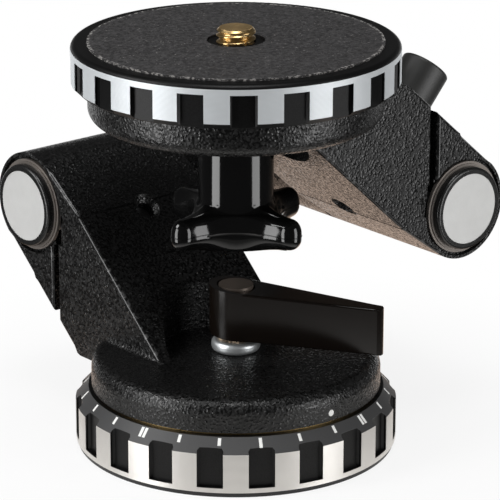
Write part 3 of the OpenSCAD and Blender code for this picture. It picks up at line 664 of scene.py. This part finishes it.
# %% [markdown]
# ## Turned and lofted forms
# The cross grip, the camera screw and the hollow rounds are stacks of closed
# outlines. One helper joins outlines of equal length into a skin and closes both
# ends.


# %% Skin from outlines
def join_rows(form, rows):
    """Faces between rows of points, each row closed on itself, and over both ends."""
    for low, high in zip(rows, rows[1:]):
        for i in range(len(low)):
            j = (i + 1) % len(low)
            form.faces.new((low[i], low[j], high[j], high[i]))
    form.faces.new(tuple(reversed(rows[0])))
    form.faces.new(tuple(rows[-1]))


def loft(name, rings, finish, body):
    """Makes a closed piece from rings of points, given in mm."""
    form = bmesh.new()
    join_rows(form, [[form.verts.new(Vector(p) * MM) for p in ring] for ring in rings])
    return show(name, form, finish, body)


print("outlines can be joined")

# %% [markdown]
# ## Foot of the slab
# Where a slab grows out of its disc the casting has a small hollow round, which
# catches a line of light. It is a bar with one hollow side that is sunk a little
# into both faces, and it dies away before the slab's front corner. The disc's top
# falls slightly towards the back, so the bar follows it.

# %% Hollow round at the foot of the lower slab
foot_r, foot_front, foot_back, foot_sunk = 1.5, 4.4, 25.0, 0.1
foot_high, foot_fall = 23.16, 0.0155
foot_least, foot_fade, arc_steps, foot_steps = 0.2, 6.0, 6, 24


def foot_ring(side, y):
    """Outline of the bar at one place along the foot."""
    r = foot_r * min(1.0, foot_least + (y - foot_front) / foot_fade)
    floor = foot_high - foot_fall * y
    turns = [math.radians(270 - 90 * step / arc_steps) for step in range(arc_steps + 1)]
    arc = [(slab_side + r + r * math.cos(t), floor + r + r * math.sin(t)) for t in turns]
    inner = slab_side - foot_sunk
    under = [(inner, floor - foot_sunk), (slab_side + r, floor - foot_sunk)]
    ring = [(side * x, y, z) for x, z in under + arc + [(inner, floor + r)]]
    return ring if side < 0 else ring[::-1]


foot_long = foot_back - foot_front
stations = [foot_front + foot_long * step / foot_steps for step in range(foot_steps + 1)]
for side, hand in ((-1, "left"), (1, "right")):
    foot_rings = [foot_ring(side, y) for y in stations]
    loft("foot_round_" + hand, foot_rings, pebble, "pan_head")
print("foot rounds: radius", foot_r, "mm, length", round(foot_long, 1), "mm")

# %% [markdown]
# ## The cross grip
# A moulded grip has no sharp line anywhere. Its outline is four round lobes joined
# by hollows that run smoothly into them: the hollow's radius follows from asking that
# the two circles touch. Each point of the outline is kept with its outward
# direction, for pulling the outline in later.

# %% Outline of the grip
lobe_r, lobe_at, waist, lobe_turn = 3.0, 18.2, 10.66, 5.5
lobe_steps, hollow_steps = 24, 16
half_root = math.sqrt(0.5)
hollow_r = (lobe_r**2 - waist**2 - lobe_at**2 + 2 * half_root * lobe_at * waist) / (
    2 * waist - 2 * half_root * lobe_at - 2 * lobe_r)
hollow_mid = Vector((half_root, half_root)) * (waist + hollow_r)
lobe_mid = Vector((lobe_at, 0))
towards = hollow_mid - lobe_mid
lobe_half = math.atan2(towards.y, towards.x)
hollow_start = math.atan2(-towards.y, -towards.x) % (2 * math.pi)
hollow_turn = 2 * (math.radians(225) - hollow_start)


def heading(angle):
    return Vector((math.cos(angle), math.sin(angle)))


outline = []
for quarter in range(4):
    turn = Matrix.Rotation(math.radians(90 * quarter + lobe_turn), 2)
    for i in range(lobe_steps):
        way = heading(lobe_half * (2 * i / lobe_steps - 1))
        outline.append((turn @ (lobe_mid + way * lobe_r), turn @ way))
    for i in range(hollow_steps):
        way = heading(hollow_start + hollow_turn * i / hollow_steps)
        outline.append((turn @ (hollow_mid + way * hollow_r), turn @ -way))
print("grip outline:", len(outline), "points, hollow radius", round(hollow_r, 2))

# %% [markdown]
# Each ring of the loft is that outline, pulled in along its own directions for the
# rounded edges, and then drawn towards the round stem for the flare. Underneath, the
# grip bulges, so a ring's height may depend on how far out a point lies.

# %% A ring of the grip
knob_low, stem_r, foot_flat, foot_rise = 52.0, 9.3, 9.8, 1.6
lobe_reach, edge_pull, most_pull = 21.2, 2.6, 0.55


def under_z(radius):
    """Height of the bulging underside at a radius."""
    out = min(1.0, max(0.0, (radius - foot_flat) / (lobe_reach - edge_pull - foot_flat)))
    return knob_low + foot_rise * out


def level(z):
    """The same height at every radius."""
    return lambda radius: z


def grip_ring(height_of, pull=0.0, flare=0.0):
    """The outline pulled in and drawn to the stem; height_of gives z from the radius."""
    ring = []
    for point, way in outline:
        room = point.length - stem_r
        place = point - way * pull * min(edge_pull, most_pull * room)
        place = place.lerp(point.normalized() * stem_r, flare)
        ring.append((place.x, place.y, height_of(place.length)))
    return ring


print("grip: reach", lobe_reach, "mm, stem radius", stem_r, "mm")

# %% [markdown]
# From below the rings go round the lower edge, over a faint ridge where the mould
# closed, round the upper edge, up the flare and along the stem. Sine and cosine of a
# quarter turn give every one of these curves.

# %% The cross grip
knob_high, stem_end, lobe_top, flare_top = 81.8, 0.4, 61.2, 63.1
seam_z, ridge_half, ridge_top, ridge_out = 57.1, 0.15, 0.05, 0.04
low_side, high_side = seam_z - 0.7, seam_z + 0.5
first_pull, edge_steps, flare_steps = 1.6, 10, 14
quarter_turn = math.radians(90)

grip_rings = [grip_ring(under_z, first_pull)]
for i in range(edge_steps, -1, -1):
    a = quarter_turn * i / edge_steps
    grip_rings.append(grip_ring(
        lambda r: low_side - (low_side - under_z(r)) * math.sin(a), 1 - math.cos(a)))
for up, out in ((-ridge_half, 0.0), (-ridge_top, ridge_out),
                (ridge_top, ridge_out), (ridge_half, 0.0)):
    grip_rings.append(grip_ring(level(seam_z + up), -out))
for i in range(edge_steps + 1):
    a = quarter_turn * i / edge_steps
    z = high_side + (lobe_top - high_side) * math.sin(a)
    grip_rings.append(grip_ring(level(z), 1 - math.cos(a)))
for i in range(1, flare_steps + 1):
    a = quarter_turn * i / flare_steps
    z = lobe_top + (flare_top - lobe_top) * (1 - math.cos(a))
    grip_rings.append(grip_ring(level(z), 1.0, math.sin(a)))
for z in (knob_high - stem_end, knob_high):
    grip_rings.append(grip_ring(level(z), 1.0, 1.0))
grip = loft("cross_grip", grip_rings, gloss_knob, "camera_bolt")
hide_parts("camera_knob")
print("grip rings:", len(grip_rings))

# %% [markdown]
# ## The camera screw
# The screw has a real 3/8 inch thread, sixteen turns to the inch. A profile could be
# swept along a helix, but its ends are hard to close. Rings that are closely
# stacked, with a radius that depends on height and angle together, make the same
# helix, and the last turn fades into the chamfered tip.

# %% Shape of the thread
screw_r, thread_deep, thread_from = 4.7625, 0.85, 97.8
pitch, columns = 25.4 / 16, 64
root_flat, flank_wide = 0.12, 0.76
fade_end, fade_long, chamfer = 0.35, 0.8, 0.75


def screw_radius(z, angle):
    """Radius of the thread at a height and an angle."""
    if z < thread_from:
        return screw_r
    phase = (z / pitch - angle / (2 * math.pi)) % 1.0
    flank = min(1.0, max(0.0, (abs(phase - 0.5) * 2 - root_flat) / flank_wide))
    fade = min(1.0, max(0.0, (screw_top - fade_end - z) / fade_long))
    tip = max(0.0, chamfer - (screw_top - z))
    return screw_r - max(thread_deep * (1 - flank) * fade, tip)


def screw_ring(z):
    """One row of points around the screw."""
    angles = [2 * math.pi * k / columns for k in range(columns)]
    radii = [screw_radius(z, a) for a in angles]
    return [(r * math.cos(a), r * math.sin(a), z) for r, a in zip(radii, angles)]


print("thread pitch:", round(pitch, 4), "mm")

# %% [markdown]
# The plain shank needs only a few rings, and the thread needs fourteen rows to a
# turn before it looks round in its flanks.

# %% Threaded screw
screw_from, shank_ring, run_in, rows_per_turn = 65.8, 80.0, 0.05, 14
thread_long = screw_top - thread_from
turn_rows = int(thread_long / (pitch / rows_per_turn))
screw_heights = [screw_from, shank_ring, thread_from - run_in]
screw_heights += [thread_from + thread_long * i / turn_rows for i in range(turn_rows + 1)]
screw_rings = [screw_ring(z) for z in screw_heights]
thread = loft("threaded_screw", screw_rings, turned_brass, "camera_bolt")
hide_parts("camera_screw")
print("screw rings:", len(screw_rings))

# %% [markdown]
# ## The painted scale
# The lines on the base are engraved in the cone and filled with white paint. They
# could be painted by the shader, but then they would have no edge of their own. Each
# filling is a low cushion that lies in its groove and spills a little over its rim.

# %% One line of paint
ring_top, slope = 14.4, math.atan2(cone_h, cone_in)
tick_w, tick_deep, tick_edge, tick_play = 0.56, 0.2, 0.3, 0.02
spill, proud = 0.12, 0.025
marks = bmesh.new()


def paint_line(angle, side, length):
    """Fills one groove: its place around the ring, its shift to a side, its length."""
    place = Matrix.Rotation(math.radians(angle), 4, "Z")
    place = place @ Matrix.Translation((ring_r - cone_in, side, ring_top))
    place = place @ Matrix.Rotation(slope, 4, "Y")
    half = tick_w / 2
    wide = half + spill
    profile = [(-half, -tick_deep), (-half, 0.0), (-wide, 0.0), (-half, proud),
               (half, proud), (wide, 0.0), (half, 0.0), (half, -tick_deep)]
    ends = (tick_edge + tick_play, tick_edge + length - tick_play)
    join_rows(marks, [[marks.verts.new((place @ Vector((along, y, z))) * MM)
                       for y, z in profile] for along in ends])


print("paint stands", proud, "mm proud of the cone")

# %% [markdown]
# There are twenty-four places around the ring. Every sixth has a double line, every
# third a long one and the rest a short one.

# %% Paint in the engraved lines
base_turn, places, every_double, every_long = 14.28, 24, 6, 3
long_line, short_line, double_shift = 2.6, 2.0, 0.55
lines = 0
for i in range(places):
    shifts = (double_shift, -double_shift) if i % every_double == 0 else (0.0,)
    length = long_line if i % every_long == 0 else short_line
    for shift in shifts:
        paint_line(base_turn + 360 / places * i, shift, length)
        lines += 1
bmesh.ops.recalc_face_normals(marks, faces=marks.faces)
show("scale_paint", marks, enamel, "base")
print("painted lines:", lines)

# %% [markdown]
# ## Studio
# The head stood on a small white table between two tall soft boxes in a dim room,
# so black pieces show two upright highlights with darkness between. The table is a
# plain disc. Places in the studio are given as the camera sees them, because that
# is how a photograph is read.

# %% White table
view_turn = math.radians(39.72)
table_r, table_sides = 0.13, 96


def from_camera_side(right, away, up):
    """A place given as the camera sees it: right, away and up, in metres."""
    c, s = math.cos(view_turn), math.sin(view_turn)
    return (right * c + away * s, away * c - right * s, up)


table_mesh = bpy.data.meshes.new("table")
corners = [2 * math.pi * k / table_sides for k in range(table_sides)]
rim = [(table_r * math.cos(a), table_r * math.sin(a), 0.0) for a in corners]
table_mesh.from_pydata(rim, [], [tuple(range(table_sides))])
table = bpy.data.objects.new("table", table_mesh)
bpy.context.scene.collection.objects.link(table)
print("table radius:", table_r, "m")

# %% [markdown]
# A photographed white table is whiter than a lit surface renders. So rays from the
# camera see plain white, and so do rays that mirror or pass through. What is mirrored
# also has the table's real fall of light: warm behind the head, dim in front of it
# and at the sides. All other rays meet plain white paint, which keeps the shadow.

# %% What the table shows
table_paint = Finish("table_white", Roughness=0.9)
table_paint.set("Base Color", table_paint.noise(4.0).blend(grey(0.80), grey(0.82)))
x, y, _ = table_paint.split()
reach = from_axis(x, y)
to_right, to_back = from_camera_side(1, 0, 0), from_camera_side(0, 1, 0)
sideward = (x * to_right[0] + y * to_right[1]).math("ABSOLUTE")
away = x * to_back[0] + y * to_back[1]
front_dim, side_dim = 0.8, 0.95
front_fade = reach.step(0.06, 0.11) * (1 - away.step(0.0, 0.05)) * front_dim
side_fade = sideward.step(0.05, 0.09) * side_dim
lit = (1 - front_fade) * (1 - side_fade)
warm = away.step(0.0, 0.06).blend((1.0, 0.98, 0.95), (1.3, 0.98, 0.78))
mirrored_table = lit.blend(grey(0.0), warm)
print("table pattern:", len(table_paint.tree.nodes), "nodes")

# %% [markdown]
# A Mix Shader chooses between the paint and the white by the kind of ray. Near the
# head a little of the paint is kept even for the camera, so that its shadow shows.


# %% Table by kind of ray
def ray_kinds(tree):
    """Two masks: rays straight from the camera, and rays by way of a mirror or glass."""
    rays = node(tree, "ShaderNodeLightPath")
    glossy = rays.named("Is Glossy Ray").math("MAXIMUM", rays.named("Is Transmission Ray"))
    return rays.named("Is Camera Ray"), glossy


shadow_kept, shadow_near, shadow_far = 0.15, 0.05, 0.14
looked_at, glossy = ray_kinds(table_paint.tree)
whiteness = 1 - shadow_kept + reach.step(shadow_near, shadow_far) * shadow_kept
shown = looked_at.blend(mirrored_table, grey(1.0))
white = node(table_paint.tree, "ShaderNodeEmission", None, {"Color": shown, "Strength": 1.0})[0]
surface = Flow(table_paint.tree, table_paint.shader.outputs[0])
choice = {0: looked_at.math("MAXIMUM", glossy) * whiteness, 1: surface, 2: white}
both = node(table_paint.tree, "ShaderNodeMixShader", None, choice)[0]
output = next(n for n in table_paint.tree.nodes if n.type == "OUTPUT_MATERIAL")
feed(table_paint.tree, output.inputs["Surface"], both)
table_mesh.materials.append(table_paint.material)
print("table finish:", len(table_paint.tree.nodes), "nodes")

# %% [markdown]
# The room is the world shader. The camera sees white, mirrors see a pale backdrop low
# behind the head and a dim room elsewhere, and everything else gets a soft fill.

# %% Room
world = bpy.data.worlds.new("studio_room")
bpy.context.scene.world = world
world.use_nodes = True
sky = world.node_tree
back = next(n for n in sky.nodes if n.type == "BACKGROUND")
back.inputs["Color"].default_value = (1.0, 1.0, 1.0, 1.0)
dim_room, soft_fill = 0.05, 0.3
way = node(sky, "ShaderNodeTexCoord").named("Generated")
up = node(sky, "ShaderNodeSeparateXYZ", None, {0: way})[2]
towards_back = {0: way, 1: Vector(to_back)}
depth = node(sky, "ShaderNodeVectorMath", {"operation": "DOT_PRODUCT"}, towards_back).named("Value")
backdrop = (1 - up.step(-0.05, 0.12)) * depth.step(0.55, 0.85)
mirrored_room = dim_room + backdrop * (1 - dim_room)
looked_at, glossy = ray_kinds(sky)
not_seen = glossy * mirrored_room + (1 - glossy) * soft_fill
feed(sky, back.inputs["Strength"], looked_at + (1 - looked_at) * not_seen)
print("room:", len(sky.nodes), "nodes")

# %% [markdown]
# Two tall soft boxes stand at the camera's left and right and make the upright
# highlights. One hangs above for the tops, and a small one stands high on the left,
# for the light along the slab's leaning side. A lamp is given by its radiance, so
# that its highlight stays as bright when its size changes.

# %% Soft boxes
middle = (0, 0, 0.05)


def soft_box(name, place, size, radiance):
    """A rectangular lamp, aimed at the middle of the head."""
    lamp = bpy.data.lights.new(name, "AREA")
    lamp.shape = "RECTANGLE"
    lamp.size, lamp.size_y = size
    lamp.energy = math.pi * size[0] * size[1] * radiance
    box = bpy.data.objects.new(name, lamp)
    box.location = place
    box.rotation_euler = (Vector(middle) - Vector(place)).to_track_quat("-Z", "Y").to_euler()
    bpy.context.scene.collection.objects.link(box)
    print(name, "energy", round(lamp.energy, 2), "W")


box_far, box_turn, tall_box = 0.8, math.radians(62), (0.36, 0.76)
sideways, nearer = box_far * math.sin(box_turn), box_far * math.cos(box_turn)
soft_box("left_box", from_camera_side(-sideways, -nearer, middle[2]), tall_box, 6.0)
soft_box("right_box", from_camera_side(sideways, -nearer, middle[2]), tall_box, 4.8)
soft_box("top_box", from_camera_side(0.0, -0.14, 0.95), (0.34, 0.34), 8.5)
soft_box("high_box", from_camera_side(-0.54, -0.12, 0.52), (0.28, 0.28), 9.0)

# %% [markdown]
# ## Camera
# The photograph was taken from far off with a long lens, a little above the
# platform. The lens and its small shift put the head where the photograph has it.

# %% Camera
tilt, far = math.radians(18.55), 0.7724
lens = bpy.data.cameras.new("camera")
lens.lens, lens.sensor_width = 226.0, 36.0
lens.shift_x, lens.shift_y = 0.0282, -0.0066
lens.clip_end = 20.0
camera = bpy.data.objects.new("camera", lens)
stand = from_camera_side(0, -far * math.cos(tilt), far * math.sin(tilt) + middle[2])
camera.location = stand
camera.rotation_euler = (Vector(middle) - Vector(stand)).to_track_quat("-Z", "Y").to_euler()
bpy.context.scene.collection.objects.link(camera)
bpy.context.scene.camera = camera
bpy.context.scene.view_settings.view_transform = "Standard"
print("camera at", [round(v, 3) for v in stand])

# %% Last update of the scene
bpy.context.view_layer.update()
